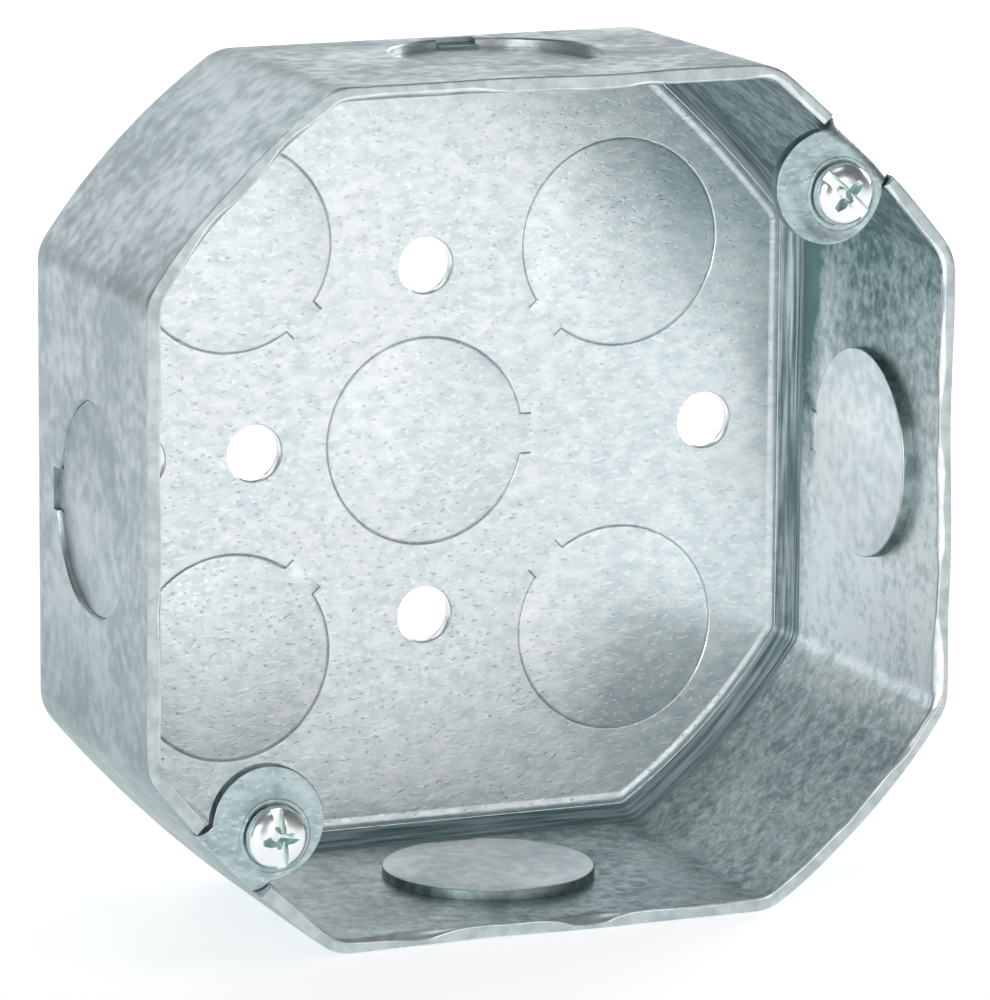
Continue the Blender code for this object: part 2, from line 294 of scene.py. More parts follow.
def plan():
    """Stations round the rim: x, z, normal x, normal z and the share of the way round."""
    stations = []
    corners = []
    for quarter, sizes in enumerate(CORNERS):
        c, s = cos(quarter * pi / 2), sin(quarter * pi / 2)
        corners.append([
            (x * c - z * s, x * s + z * c, nx * c - nz * s, nx * s + nz * c)
            for x, z, nx, nz in corner_line(*sizes)
        ])
    for quarter, line in enumerate(corners):
        stations += line
        x0, z0, nx, nz = line[-1]
        x1, z1 = corners[(quarter + 1) % 4][0][:2]
        steps = int(hypot(x1 - x0, z1 - z0) / STATION_STEP)
        for i in range(1, steps):
            t = i / steps
            stations.append((x0 + (x1 - x0) * t, z0 + (z1 - z0) * t, nx, nz))
    lengths = [0.0]
    for a, b in zip(stations, stations[1:] + stations[:1]):
        lengths.append(lengths[-1] + hypot(a[0] - b[0], a[1] - b[1]))
    return [(*s, length / lengths[-1]) for s, length in zip(stations, lengths)]


STATIONS = plan()
# The coined bead round the plate, as (outward from the bevel's foot, height)
BEAD = [
    (1.35, 0), (1.1, 0.03), (0.85, 0.11), (0.6, 0.16),
    (0.35, 0.15), (0.16, 0.07), (0.05, -0.03), (-0.04, 0),
]
# The lines that drawing left on the bevel, as (share of the way up it, height)
DRAW_LINES = [
    (0, 0), (0.10, 0.05), (0.20, -0.05), (0.30, 0.05), (0.42, -0.06),
    (0.54, 0.05), (0.66, -0.05), (0.78, 0.06), (0.90, -0.03), (1.0, 0),
]
# The same lines on the foot of the wall, as (depth, height)
FOOT_LINES = [
    (34.9, 0.01), (34.65, 0.045), (34.4, 0), (34.15, 0.045),
    (33.9, 0), (33.65, 0.04), (33.4, 0),
]
INSIDE_DEPTHS = (32.6, 30, 27, 23, 19, 15, 11.5, 8.5, 6, 4, 2.8, 1.9)
OUTSIDE_DEPTHS = (1.2, 2.6, 4.5, 8, 12, 17, 22, 27, 31, DEPTH - BACK_EDGE_RADIUS)
BACK_EDGE_STEPS = 10

# The sheared edge: its bright inner bevel's width, how unevenly it was trimmed, and how far the sheet
# leans in there, which fades away down the wall
LIP_LEAST = 0.18
LIP_SWING = 0.42
LIP_MOST = 1.1
TRIM_SWING = 0.09
TRIM_LEAST = -1.7
LEAN_SWING = 0.07
LEAN_LEAST = -1.8
LEAN_FADE = 9
lip_wave = Wave(11, (3, 5, 8, 13, 17, 22, 29, 37))
trim_wave = Wave(5, (4, 7, 11, 16, 23, 31))
wall_wave = Wave(3, (3, 6, 9, 14))
# Where the left side is, as a share of the way round, and how far it reaches to either side
LEFT_SHARE = 0.46
LEFT_SPAN = 0.17


def lip_width(share):
    """How wide the sheared edge's bright inner bevel is at this place: less so on the left."""
    left = max(0.0, 1 - abs(share - LEFT_SHARE) / LEFT_SPAN) ** 0.5
    swell = max(0.0, 0.55 + 0.62 * lip_wave(share)) ** 1.5
    return (LIP_LEAST + LIP_SWING * swell) * (1 - 0.62 * left)


def foot_rows():
    """From the plate's bead, up the coined bevel and the foot of the wall."""
    rows = [(DIE_OFFSET + across, PLATE_DEPTH - rise) for across, rise in BEAD]
    wall_foot = SHEET + DRAFT
    for t, ripple in DRAW_LINES:
        inset = DIE_OFFSET - 0.12 + (wall_foot - DIE_OFFSET + 0.14) * t
        rows.append((inset - ripple, PLATE_DEPTH - 0.1 - (DIE_RISE - 0.1) * t - ripple))
    for depth, ripple in FOOT_LINES:
        rows.append((SHEET + DRAFT * depth / DEPTH - ripple, depth))
    return rows


def edge_rows(lip, trim, lean):
    """Over the sheared edge, from its inner bevel to its outer corner."""
    inner = SHEET + lean
    return [
        (inner, lip * 0.95 + 0.08 + trim),
        (inner - 0.05, lip * 0.75 + trim),
        (inner - lip * 0.45, lip * 0.28 + trim),
        (inner - lip * 0.85, 0.04 + trim),
        (inner - lip * 0.9 - 0.06, trim),
        (lean + 0.22, trim),
        (lean + 0.06, 0.06 + trim),
        (lean, 0.24 + trim),
    ]


def back_edge_rows():
    """The rounded edge between the walls' outside and the back's."""
    rows = []
    for i in range(1, BACK_EDGE_STEPS + 1):
        angle = pi / 2 * i / BACK_EDGE_STEPS
        inset = DRAFT + BACK_EDGE_RADIUS * (1 - cos(angle))
        rows.append((inset, DEPTH - BACK_EDGE_RADIUS + BACK_EDGE_RADIUS * sin(angle)))
    return rows


def section(share):
    """The sheet's cross-section as (inset from the outside, depth), from plate round to back."""
    lip = min(LIP_MOST, lip_width(share))
    trim = TRIM_SWING * (max(TRIM_LEAST, trim_wave(share)) - TRIM_LEAST)
    lean = LEAN_SWING * (max(LEAN_LEAST, wall_wave(share)) - LEAN_LEAST)
    rows = foot_rows()
    for depth in INSIDE_DEPTHS:
        rows.append((SHEET + DRAFT * depth / DEPTH + lean * exp(-depth / LEAN_FADE), depth))
    rows += edge_rows(lip, trim, lean)
    for depth in OUTSIDE_DEPTHS:
        rows.append((DRAFT * depth / DEPTH + lean * exp(-depth / LEAN_FADE), depth))
    return rows + back_edge_rows()


def shell_mesh():
    """The drawn sheet, before its holes and the ears' gaps are cut."""
    bm = bmesh.new()
    columns = [section(share) for *_, share in STATIONS]
    rings = []
    for row in range(len(columns[0])):
        ring = []
        for (x, z, nx, nz, _), column in zip(STATIONS, columns):
            inset, depth = column[row]
            ring.append(place(x - nx * inset, depth, z - nz * inset))
        rings.append(ring)
    loft(bm, rings)
    return finish_mesh(bm, "box_shell")


def slug_outline(radius, half_tie, height):
    """A disc with a tie, which ends on the line it bends on, at local X = 0."""
    turn = atan2(half_tie, sqrt(radius**2 - half_tie**2))
    disc = arc(-TIE_REACH, 0, radius, turn, 2 * pi - turn, 96)
    return [(x, y, height) for x, y in disc + [(0.0, -half_tie), (0.0, half_tie)]]


def side_frame(wall):
    """A side knockout's frame: origin on its bending line, X toward the back, Z into the box."""
    out, along, depth = SIDE_KNOCKOUTS[wall]
    slope = (INWARD * DEPTH - out * DRAFT).normalized()
    normal = (-out * DEPTH - INWARD * DRAFT).normalized()
    sideways = UP if out.x else RIGHT
    lean = DRAFT * depth / DEPTH
    centre = place(0, depth, 0) + sideways * along + out * (FLAT_HALF - lean - SHEET)
    return axes(centre + slope * TIE_REACH + normal * SIDE_INSET, slope, normal)


def back_frame(x, z, toward_tie):
    """A back knockout's frame: origin on its bending line, X out through the tie, Z to the front."""
    centre = place(x, PLATE_DEPTH, z + BACK_RISE)
    toward_tie = toward_tie.normalized()
    return axes(centre + toward_tie * TIE_REACH - INWARD * BACK_INSET, toward_tie, -INWARD)


def knockouts():
    """Every knockout's name, frame and inset."""
    found = [(wall, side_frame(wall), SIDE_INSET) for wall in SIDE_KNOCKOUTS]
    found.append(("back_centre", back_frame(0, 0, RIGHT), BACK_INSET))
    for corner, (x, z) in BACK_KNOCKOUTS.items():
        found.append(("back_" + corner, back_frame(x, z, Vector((-x, 0, -z))), BACK_INSET))
    return found


def add_hole_cutter(bm, matrix, inset):
    """A knockout's hole, rounded outside, and in the back also rounded inside."""
    radius = KNOCKOUT_RADIUS + SHEAR_GAP
    half = TIE_HALF + SHEAR_GAP
    inner, outer = -inset, -inset - SHEET
    levels = [(0.34, outer - 2), (0.34, outer - 0.2), (0.14, outer), (0.0, outer + 0.2)]
    if inset == SIDE_INSET:
        levels += [(0.0, inner - 0.1), (0.0, inner + 2)]
    else:
        levels += [(0.0, inner - 0.12), (0.05, inner - 0.06), (0.18, inner)]
        levels += [(0.30, inner + 0.1), (0.30, inner + 2)]
    rings = [slug_outline(radius + more, half + more * 0.5, height) for more, height in levels]
    loft(bm, rings, matrix)


def add_round_cutter(bm, matrix, radius):
    """A mounting hole, with a small rounding at both faces."""
    levels = [
        (1.5, -SHEET - 1.5), (0.12, -SHEET), (0, -SHEET + 0.2),
        (0, -0.28), (0.05, -0.12), (0.16, 0), (1.5, 1.5),
    ]
    loft(bm, [circle(radius + more, height, 48) for more, height in levels], matrix)


def ear_angle(side):
    return pi / 4 if side == 1 else pi * 5 / 4


def ear_frame(side):
    """Local X runs out through the ear, local Y across it, local Z out of the open side."""
    angle = ear_angle(side)
    return axes(place(0, 0, 0), Vector((cos(angle), 0, sin(angle))), -INWARD)


def add_ear_cutter(bm, side):
    """The gap in the rim where the ear's neck stands, with a rounded slit at each end."""
    middle = side * EAR_SHIFT
    left = middle + side * (EAR_HALF_WIDTH + SLIT_WIDE)
    right = middle - side * (EAR_HALF_WIDTH + SLIT_THIN)
    low, high = min(left, right), max(left, right)
    corner = 0.35
    rings = []
    for radial in (44.0, 56.0):
        ring = [(radial, low - 0.6, 5), (radial, low - 0.25, 0.05), (radial, low, -0.4)]
        ring += [(radial, low + corner * (1 - cos(a)), -SLIT_DEPTH + corner * (1 - sin(a)))
                 for a in (0, pi / 6, pi / 3, pi / 2)]
        ring += [(radial, high - corner * (1 - cos(a)), -SLIT_DEPTH + corner * (1 - sin(a)))
                 for a in (pi / 2, pi / 3, pi / 6, 0)]
        ring += [(radial, high, -0.4), (radial, high + 0.25, 0.05), (radial, high + 0.6, 5)]
        rings.append(ring)
    loft(bm, rings, ear_frame(side))


def build_shell():
    shell = shell_mesh()
    bm = bmesh.new()
    for _, matrix, inset in knockouts():
        add_hole_cutter(bm, matrix, inset)
    for x, z in HOLES:
        middle = axes(place(x, PLATE_DEPTH, z + BACK_RISE), RIGHT, -INWARD)
        add_round_cutter(bm, middle, HOLE_RADIUS)
    add_ear_cutter(bm, 1)
    add_ear_cutter(bm, -1)
    cut(shell, finish_mesh(bm, "cutter"))
    shade(shell.data, 32)
    weighted = shell.modifiers.new("weighted", "WEIGHTED_NORMAL")
    weighted.keep_sharp = True
    return shell


# ---------------------------------------------------------------- slugs, ties, ears and screws

def notched_disc(radius, height):
    """A side slug's disc: torn off square where its tie was, a little unevenly."""
    steps = 110
    points = []
    for i in range(steps):
        x, y = radius * cos(2 * pi * i / steps), radius * sin(2 * pi * i / steps)
        limit = radius - 0.62 + 0.10 * sin(3.1 * y) + 0.06 * sin(7.3 * y + 1)
        if abs(y) < TIE_HALF + 0.35 and x > 0:
            x = min(x, limit)
        points.append((x - TIE_REACH, y, height))
    return points


def strip_section(x, half, low, top):
    """A strip of sheet cut across at x, with its two upper corners taken off."""
    return [
        (x, -half, low), (x, half, low), (x, half, top - STRIP_EDGE), (x, half - STRIP_EDGE, top),
        (x, -half + STRIP_EDGE, top), (x, -half, top - STRIP_EDGE),
    ]


def build_side_slug(name, matrix):
    """A slug already knocked part of the way in, higher on the rim side, on a tie bent below its face."""
    radius = KNOCKOUT_RADIUS - SHEAR_GAP
    centre = Matrix.Translation((-TIE_REACH, 0, 0))
    shifted = matrix @ Matrix.Translation((0, 0, SLUG_SHIFT[name])) @ centre
    tilted = shifted @ Matrix.Rotation(SIDE_TILT, 4, "Y") @ centre.inverted()
    bm = bmesh.new()
    levels = [
        (-0.20, -SHEET), (-0.08, -SHEET + 0.03), (0, -SHEET + 0.14), (0.02, -0.9), (0, -0.20),
        (-0.03, -0.09), (-0.10, -0.03), (-0.22, 0),
    ]
    loft(bm, [notched_disc(radius + less, height) for less, height in levels], tilted)
    half = TIE_HALF - SHEAR_GAP
    strip = []
    for i in range(9):
        t = i / 8
        top = -0.75 - 0.2 * t
        strip.append(strip_section(-2.4 + 2.4 * t, half, top - SHEET + STRIP_EDGE, top))
    loft(bm, strip, matrix)
    return finish_mesh(bm, "slug_" + name, 40)


def build_back_slug(name, matrix):
    """A slug still level with the plate, apart from the small tilt that shearing left."""
    radius = KNOCKOUT_RADIUS - SHEAR_GAP
    half = TIE_HALF - SHEAR_GAP
    tilt = radians(BACK_TILTS[name])
    bm = bmesh.new()
    levels = [
        (-0.20, -SHEET), (-0.08, -SHEET + 0.03), (0, -SHEET + 0.14), (0, -0.16),
        (-0.05, -0.09), (-0.16, -0.04), (-0.36, 0),
    ]
    rings = [slug_outline(radius + less, half + less * 0.5, height) for less, height in levels]
    loft(bm, rings, matrix @ Matrix.Rotation(tilt, 4, "X"))
    return finish_mesh(bm, "slug_" + name, 40)


def build_tie(wall):
    """The wall's side of a tie: the sheet bent up a little to meet the slug's strip."""
    bm = bmesh.new()
    rings = []
    for i in range(11):
        t = i / 10
        ease = t * t * (3 - 2 * t)
        top = -0.95 - (SIDE_INSET - 0.89) * ease
        half = TIE_HALF - 0.1 + 0.9 * t * t
        rings.append(strip_section(2.3 * t, half, top - SHEET + STRIP_EDGE + 0.3 * t, top))
    loft(bm, rings, side_frame(wall))
    return finish_mesh(bm, "tie_" + wall, 50)


class FlatEar:
    """An ear laid flat, as (across, along): along is 0 at the fold, and grows down the neck."""

    def __init__(self, side):
        self.diagonal = EAR_DIAGONALS[side]
        self.middle = side * EAR_SHIFT
        fold = self.diagonal - BEND_RADIUS
        self.centre = EAR_CENTRE - fold
        self.screw = (side * (SCREW_SHIFT - EAR_SHIFT), SCREW_RADIAL - fold)
        self.leg_end = BEND_LENGTH + SLIT_DEPTH - EAR_BELOW_RIM - BEND_RADIUS

    def outline(self):
        meet = sqrt(EAR_RADIUS**2 - EAR_HALF_WIDTH**2)
        turn = atan2(meet, EAR_HALF_WIDTH)
        neck = [self.leg_end + (self.centre + meet - self.leg_end) * i / 12 for i in range(12)]
        points = [(-EAR_HALF_WIDTH, along) for along in neck]
        points += arc(0, self.centre, EAR_RADIUS, pi - turn, 2 * pi + turn, 90)
        points += [(EAR_HALF_WIDTH, along) for along in reversed(neck)]
        for i in range(1, 14):
            points.append((EAR_HALF_WIDTH - 2 * EAR_HALF_WIDTH * i / 14, self.leg_end))
        return points

    def hole(self):
        x, y = self.screw
        return [(x + across, y + along) for across, along, _ in circle(RECESS_RADIUS, 0, 72)]

    def from_screw(self, across, along):
        return hypot(across - self.screw[0], along - self.screw[1])

    def holds(self, across, along, side_gap, end_gap, hole_gap):
        """Whether a point is on the ear and clear of its sides, its end and its hole by these gaps."""
        in_disc = hypot(across, along - self.centre) < EAR_RADIUS - side_gap
        in_neck = abs(across) < EAR_HALF_WIDTH - side_gap and self.centre < along < self.leg_end - end_gap
        return (in_disc or in_neck) and self.from_screw(across, along) > RECESS_RADIUS + hole_gap

    def grid(self):
        """Points all over the ear, which let its sheet bend smoothly."""
        step = 0.36
        columns = int(EAR_RADIUS / step) + 1
        rows = range(int((self.centre - EAR_RADIUS) / step) - 1, int(self.leg_end / step) + 1)
        points = [(i * step, j * step) for i in range(-columns, columns + 1) for j in rows]
        return [point for point in points if self.holds(*point, 0.2, 0.15, 0.15)]

    def bend(self, across, along):
        """Where a flat point is on the real ear, in the ear's frame."""
        dip = EAR_DIP * exp(-(((self.from_screw(across, along) - RECESS_RADIUS) / DIP_WIDTH) ** 2))
        tangent = across + self.middle
        wall = sqrt(EAR_WALL_RADIUS**2 - tangent**2) + self.diagonal - EAR_WALL_RADIUS
        start = wall - BEND_RADIUS
        if along <= 0:
            radial, height = start + along, -EAR_BELOW_RIM - dip
        elif along < BEND_LENGTH:
            angle = along / BEND_RADIUS
            radial = start + BEND_RADIUS * sin(angle)
            height = -EAR_BELOW_RIM - BEND_RADIUS * (1 - cos(angle)) - dip * cos(angle)
        else:
            radial, height = wall, -EAR_BELOW_RIM - BEND_RADIUS - (along - BEND_LENGTH)
        radial -= DRAFT * -height / DEPTH * min(1, max(0, along / BEND_LENGTH))
        return Vector((radial, tangent, height))


def ear_sheet(name, side):
    """The ear's outer surface as one bent sheet, without thickness."""
    flat = FlatEar(side)
    outline, hole = flat.outline(), flat.hole()
    first = len(outline)
    loops = [(i, (i + 1) % first) for i in range(first)]
    loops += [(first + i, first + (i + 1) % len(hole)) for i in range(len(hole))]
    points = [Vector(point) for point in outline + hole + flat.grid()]
    spots, _, faces = delaunay_2d_cdt(points, loops, [], 0, 1e-5)[:3]
    matrix = ear_frame(side)
    bm = bmesh.new()
    verts = [bm.verts.new(matrix @ flat.bend(*spot)) for spot in spots]
    for face in faces:
        across = sum(spots[i][0] for i in face) / 3
        along = sum(spots[i][1] for i in face) / 3
        if flat.holds(across, along, 0, 0, -0.004):
            bm.faces.new([verts[i] for i in face])
    loose = [v for v in bm.verts if not v.link_faces]
    bmesh.ops.delete(bm, geom=loose, context="VERTS")
    bmesh.ops.recalc_face_normals(bm, faces=bm.faces)
    if sum(face.normal.dot(INWARD) for face in bm.faces) > 0:
        bmesh.ops.reverse_faces(bm, faces=bm.faces)
    return add_object(bm, name)


def build_ear(name, side):
    """The round flat, its fold and the neck that runs down to the wall.

    Its sheared edges are bare steel, darkened by painted shade.
    """
    obj = ear_sheet(name, side)
    obj.data.materials.append(EAR)
    obj.data.materials.append(SHADED_CUT)
    thick = obj.modifiers.new("sheet", "SOLIDIFY")
    thick.material_offset_rim = 1
    thick.thickness = SHEET * MM
    thick.offset = -1
    thick.use_even_offset = True
    apply_modifiers(obj)
    round_edges(obj, 0.13, 55, clamp=False)
    shade(obj.data, 50)
    return obj


def screw_frame(side, height=0.0):
    """Local Z is the screw's axis, out of the open side."""
    return ear_frame(side) @ Matrix.Translation((SCREW_RADIAL, side * SCREW_SHIFT, height))


def build_boss(name, side):
    """The tapped boss drawn down under the ear, with the floor that the screw's head sits on."""
    profile = [
        (RECESS_RADIUS + 0.25, -1.0), (RECESS_RADIUS - 0.02, -0.86), (3.55, -0.88), (3.36, -0.95),
        (3.31, -1.1), (3.3, -RECESS_DEPTH), (2.32, -RECESS_DEPTH), (2.2, -RECESS_DEPTH - 0.12),
        (2.2, -3.4), (2.35, -3.5), (4.2, -3.5), (4.5, -3.35), (4.6, -3.0), (4.6, -1.5),
        (RECESS_RADIUS + 0.25, -1.5),
    ]
    return lathe(name, profile, screw_frame(side))


def thread_mesh():
    """A helical thread under the head, closed into a rod, that fades out at both ends."""
    bm = bmesh.new()
    steps = 28
    root = THREAD_RADIUS - THREAD_DEPTH
    shape = [(0.0, root), (0.32, root), (0.46, THREAD_RADIUS), (0.56, THREAD_RADIUS), (0.72, root)]
    count = int(THREAD_LENGTH / THREAD_PITCH * steps)
    columns = []
    for i in range(count + 1):
        angle = 2 * pi * i / steps
        base = -THREAD_PITCH * i / steps
        taper = min(1, (count - i) / steps, i / steps + 0.2)
        column = []
        for share, r in shape:
            r = root + (r - THREAD_RADIUS + THREAD_DEPTH) * max(0, taper)
            column.append(bm.verts.new((r * cos(angle), r * sin(angle), base - share * THREAD_PITCH)))
        columns.append(column)
    for a, b in zip(columns, columns[1:]):
        for k in range(len(shape) - 1):
            bm.faces.new((a[k], b[k], b[k + 1], a[k + 1]))
    for i in range(count - steps):
        next_turn = i + steps
        below = (columns[next_turn + 1][0], columns[next_turn][0])
        bm.faces.new((columns[i][-1], columns[i + 1][-1], *below))
    return bm


def screw_blank(name, facing):
    """A round head on a plain shank, before the head is cut."""
    profile = []
    for i in range(1, 15):
        a = pi / 2 * i / 14
        profile.append((1.0 + 2.22 * sin(a), 0.82 + (HEAD_HEIGHT - 0.82) * cos(a)))
    profile += [(HEAD_RADIUS, 0.7), (HEAD_RADIUS, 0.12), (HEAD_RADIUS - 0.12, 0.0)]
    profile += [(SHANK_RADIUS, 0.0), (SHANK_RADIUS, 0.3 - SCREW_LENGTH), (1.1, -SCREW_LENGTH)]
    bm = bmesh.new()
    rings = [[bm.verts.new(p) for p in circle(r, h)] for r, h in profile]
    top = bm.verts.new((0, 0, HEAD_HEIGHT))
    tip = bm.verts.new((0, 0, -SCREW_LENGTH))
    for a, b in zip(rings, rings[1:]):
        bridge(bm, a, b)
    for i in range(len(rings[0])):
        j = (i + 1) % len(rings[0])
        bm.faces.new((top, rings[0][j], rings[0][i]))
        bm.faces.new((tip, rings[-1][i], rings[-1][j]))
    bmesh.ops.recalc_face_normals(bm, faces=bm.faces)
    bm.transform(facing)
    return finish_mesh(bm, name)


def cut_slot(screw, facing):
    """The straight slot across the whole head, a little wider at the top."""
    rings = []
    for half, height in ((0.56, HEAD_HEIGHT - 1.05), (0.61, HEAD_HEIGHT + 1)):
        rings.append([(-5, -half, height), (5, -half, height), (5, half, height), (-5, half, height)])
    bm = bmesh.new()
    loft(bm, rings, facing)
    cut(screw, finish_mesh(bm, "cutter"))


def cut_cross(screw, facing):
    """The cross recess, as two tapered slots with narrowed ends."""
    levels = ((-1.75, 0.5, 0.32), (-0.9, 1.35, 0.48), (0.5, 2.5, 0.62))
    for along in (0, pi / 2):
        rings = []
        for height, reach, half in levels:
            front = [(-reach, -half * 0.5), (-reach * 0.6, -half)]
            front += [(reach * 0.6, -half), (reach, -half * 0.5)]
            rear = [(x, -y) for x, y in reversed(front)]
            rings.append([(x, y, HEAD_HEIGHT + height) for x, y in front + rear])
        bm = bmesh.new()
        loft(bm, rings, facing @ Matrix.Rotation(along, 4, "Z"))
        cut(screw, finish_mesh(bm, "cutter"))


def build_screw(level, side, turn):
    """A round-headed machine screw with a slot and cross recess, and its thread."""
    matrix = screw_frame(side, HEAD_SEAT)
    facing = matrix @ Matrix.Rotation(turn, 4, "Z")
    screw = screw_blank("cover_screw_head_" + level, facing)
    cut_slot(screw, facing)
    cut_cross(screw, facing)
    round_edges(screw, 0.06, 38, clamp=True)
    shade(screw.data, 40)
    dress_by_face(screw, SCREW_MATERIALS, lambda face: screw_material(face, facing))
    bm = thread_mesh()
    bm.transform(matrix @ Matrix.Translation((0, 0, THREAD_START)))
    thread = finish_mesh(bm, "screw_thread_head_" + level, 30)
    return screw, thread


# ---------------------------------------------------------------- materials

class Nodes:
    """A short way to write a material's node tree."""

    def __init__(self, name):
        self.material = bpy.data.materials.new(name)
        self.material.use_nodes = True
        self.tree = self.material.node_tree
        self.shader = self.tree.nodes["Principled BSDF"]
        self.coords = self.tree.nodes.new("ShaderNodeTexCoord")

    def link(self, value, socket):
        if isinstance(value, bpy.types.NodeSocket):
            self.tree.links.new(value, socket)
        else:
            socket.default_value = value

    def scaled(self, scale, turn=(0, 0, 0)):
        """Places on the object, turned and then stretched: a larger scale makes smaller marks."""
        node = self.tree.nodes.new("ShaderNodeMapping")
        self.link(self.coords.outputs["Object"], node.inputs["Vector"])
        node.inputs["Scale"].default_value = scale
        node.inputs["Rotation"].default_value = turn
        return node.outputs["Vector"]

    def noise(self, vector, scale, detail=3, rough=0.55, distortion=0.0):
        node = self.tree.nodes.new("ShaderNodeTexNoise")
        self.link(vector, node.inputs["Vector"])
        node.inputs["Scale"].default_value = scale
        node.inputs["Detail"].default_value = detail
        node.inputs["Roughness"].default_value = rough
        node.inputs["Distortion"].default_value = distortion
        return node.outputs["Fac"]

    def ramp(self, value, low, high, out_low=0.0, out_high=1.0):
        """A smooth step from out_low to out_high as the value goes from low to high."""
        node = self.tree.nodes.new("ShaderNodeMapRange")
        node.interpolation_type = "SMOOTHSTEP"
        for socket, number in zip(list(node.inputs)[:5], (value, low, high, out_low, out_high)):
            self.link(number, socket)
        return node.outputs["Result"]

    def math(self, operation, a, b=0.0):
        node = self.tree.nodes.new("ShaderNodeMath")
        node.operation = operation
        self.link(a, node.inputs[0])
        self.link(b, node.inputs[1])
        return node.outputs[0]

    def mix(self, factor, a, b):
        node = self.tree.nodes.new("ShaderNodeMix")
        node.data_type = "RGBA"
        self.link(factor, node.inputs[0])
        self.link(a, node.inputs[6])
        self.link(b, node.inputs[7])
        return node.outputs[2]

    def bump(self, height, distance, strength, normal=None):
        """Relief of a height in metres, on top of an earlier bump if there is one."""
        node = self.tree.nodes.new("ShaderNodeBump")
        node.inputs["Distance"].default_value = distance
        node.inputs["Strength"].default_value = strength
        self.link(height, node.inputs["Height"])
        if normal:
            self.link(normal, node.inputs["Normal"])
        return node.outputs["Normal"]

    def done(self, colour, roughness, normal, metallic=1.0):
        self.link(colour, self.shader.inputs["Base Color"])
        self.link(roughness, self.shader.inputs["Roughness"])
        self.link(normal, self.shader.inputs["Normal"])
        self.shader.inputs["Metallic"].default_value = metallic
        return self.material


TICK_COLOUR = (0.16, 0.27, 0.28, 1)
# Painted shade for the lower part of the outside walls
LOW_SHADE_COLOUR = (0.17, 0.26, 0.27, 1)


def plate_steel(name, light, dark, roughness=0.38):
    """Galvanised sheet as the back shows it: soft blobs along the rolling, and small dark ticks."""
    n = Nodes(name)
    plain = n.scaled((1, 1, 1))
    along_blobs = n.scaled((430, 500, 760), (0, radians(24), 0))
    along_ticks = n.scaled((1500, 1500, 3100), (0, radians(-38), 0))
    patches = n.noise(plain, 60, 3, 0.6)
    blobs = n.noise(along_blobs, 1.0, 2, 0.45, 0.2)
    along_flakes = n.scaled((1050, 1050, 2300), (0, radians(28), 0))
    flakes = n.ramp(n.noise(along_flakes, 1.0, 1, 0.4), 0.54, 0.68)
    grain = n.noise(plain, 1500, 3, 0.6)
    ticks = n.ramp(n.noise(along_ticks, 1.0, 1, 0.4), 0.64, 0.76)
    tone = n.math("ADD", n.math("MULTIPLY", patches, 0.4), n.math("MULTIPLY", blobs, 0.6))
    colour = n.mix(n.ramp(tone, 0.24, 0.76), dark, light)
    colour = n.mix(n.math("MULTIPLY", flakes, 0.75), colour, light)
    colour = n.mix(n.math("MULTIPLY", ticks, 0.26), colour, TICK_COLOUR)
    haze = n.math("ADD", n.math("MULTIPLY", patches, 0.5), n.math("MULTIPLY", grain, 0.5))
    rough = n.ramp(haze, 0.3, 0.7, roughness - 0.06, roughness + 0.10)
    normal = n.bump(blobs, 0.00005, 0.5)
    normal = n.bump(flakes, 0.000012, 0.6, normal)
    normal = n.bump(grain, 0.00002, 0.6, normal)
    normal = n.bump(n.math("MULTIPLY", ticks, -1.0), 0.00004, 0.6, normal)
    return n.done(colour, rough, normal)


def place_parts(n):
    """The x, y and z of a place on the object, in the frame's metres."""
    parts = n.tree.nodes.new("ShaderNodeSeparateXYZ")
    n.link(n.coords.outputs["Object"], parts.inputs[0])
    return parts.outputs


def painted_light_and_shade(n):
    """Painted light and shade on the inside walls, as an amount to add to their colour.

    Painted light round the right-hand slug and at the bottom's left; painted shade at the foot of the
    right wall and towards the upper right.
    """
    x, y, z = place_parts(n)
    right = n.ramp(x, 0.037, 0.042)
    foot = n.math("MULTIPLY", n.ramp(y, 0.009, 0.014), n.ramp(z, 0.030, 0.050))
    low = n.ramp(z, 0.048, 0.070, 1.0, 0.0)
    base = n.ramp(z, 0.012, 0.026)
    spot = n.math("MULTIPLY", n.math("MULTIPLY", right, low), base)
    corner = n.ramp(n.math("ADD", x, z), 0.078, 0.100)
    # Painted light round the right-hand slug, painted shade towards the upper right and at the right wall's
    # foot
    light_and_shade = n.math("SUBTRACT", n.math("MULTIPLY", spot, 0.50), n.math("MULTIPLY", corner, 0.33))
    light_and_shade = n.math("SUBTRACT", light_and_shade, n.math("MULTIPLY", n.math("MULTIPLY", foot, right), 0.7))
    near = n.math("MULTIPLY", n.ramp(x, -0.028, 0.004, 1.0, 0.0), n.ramp(z, 0.004, 0.012, 1.0, 0.0))
    return n.math("ADD", light_and_shade, n.math("MULTIPLY", near, 0.55))


def squiggles(n, plain):
    """Bright curly rub marks, on the lower right corner's wall only."""
    x, _, z = place_parts(n)
    region = n.ramp(n.math("SUBTRACT", x, z), 0.010, 0.022)
    curls = n.noise(plain, 330, 3, 0.6, 1.3)
    line = n.ramp(n.math("ABSOLUTE", n.math("SUBTRACT", curls, 0.5)), 0.0, 0.05, 1.0, 0.0)
    return n.math("MULTIPLY", line, region)


